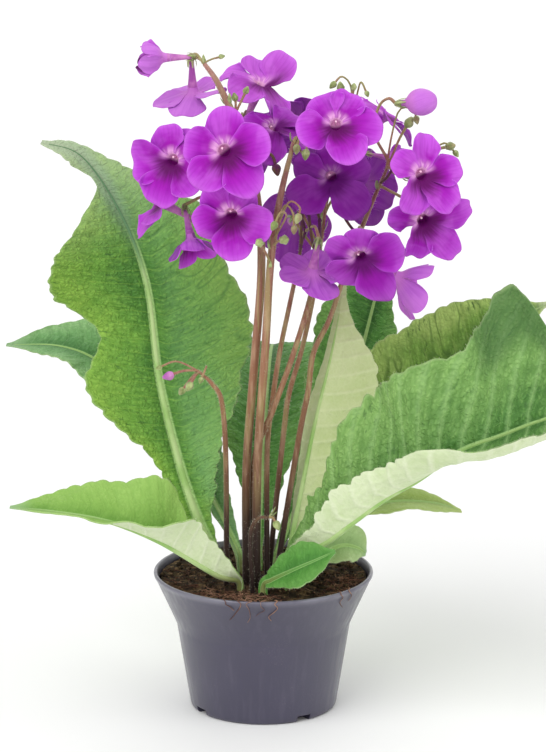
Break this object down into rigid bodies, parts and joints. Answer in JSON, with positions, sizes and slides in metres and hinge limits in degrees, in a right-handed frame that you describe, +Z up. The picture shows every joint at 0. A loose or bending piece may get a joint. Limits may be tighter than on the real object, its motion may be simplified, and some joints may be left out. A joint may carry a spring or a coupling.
{
  "type": "cape primrose in a pot",
  "caption": "Flowering cape primrose with long puckered leaves and violet five-lobed blooms on slender stems, growing in a round plastic nursery pot.",
  "frame": {"origin": "middle of the pot's flat underside, on the surface it stands on", "axes": "+Z up along the pot's axis, -Y towards the plant's front, where most blooms face, +X to the right as seen from the front"},
  "size_m": [0.3384, 0.2742, 0.366],
  "materials": {
    "pot": "satin moulded plastic",
    "compost": "rough and fibrous",
    "leaf": "puckered and softly hairy",
    "stem": "softly hairy",
    "petal": "velvety"
  },
  "bodies": {
    "root": {"pot": "pot", "compost": "compost", "leaf_tall_left": "leaf", "leaf_low_left": "leaf", "leaf_broad_right": "leaf", "leaf_pale_right": "leaf", "leaf_back_right": "leaf", "leaf_far_right": "leaf", "leaf_back_left": "leaf", "leaf_back_centre": "leaf", "leaf_small_front": "leaf", "leaf_small_right": "leaf", "leaf_low_right": "leaf", "flower_stem_1": "stem", "flower_stem_2": "stem", "flower_stem_3": "stem", "flower_stem_4": "stem", "flower_stem_5": "stem", "flower_stem_6": "stem", "flower_stem_7": "stem", "flower_stem_8": "stem", "bloom_01": "petal", "bloom_02": "petal", "bloom_03": "petal", "bloom_04": "petal", "bloom_05": "petal", "bloom_06": "petal", "bloom_07": "petal", "bloom_08": "petal", "bloom_09": "petal", "bloom_10": "petal", "bloom_11": "petal", "bloom_12": "petal", "bloom_13": "petal", "bloom_14": "petal", "bloom_15": "petal", "bloom_16": "petal", "bloom_17": "petal", "bloom_18": "petal", "bloom_19": "petal", "bloom_20": "petal", "bloom_21": "petal", "bloom_22": "petal", "bloom_23": "petal"}
  },
  "joints": []
}
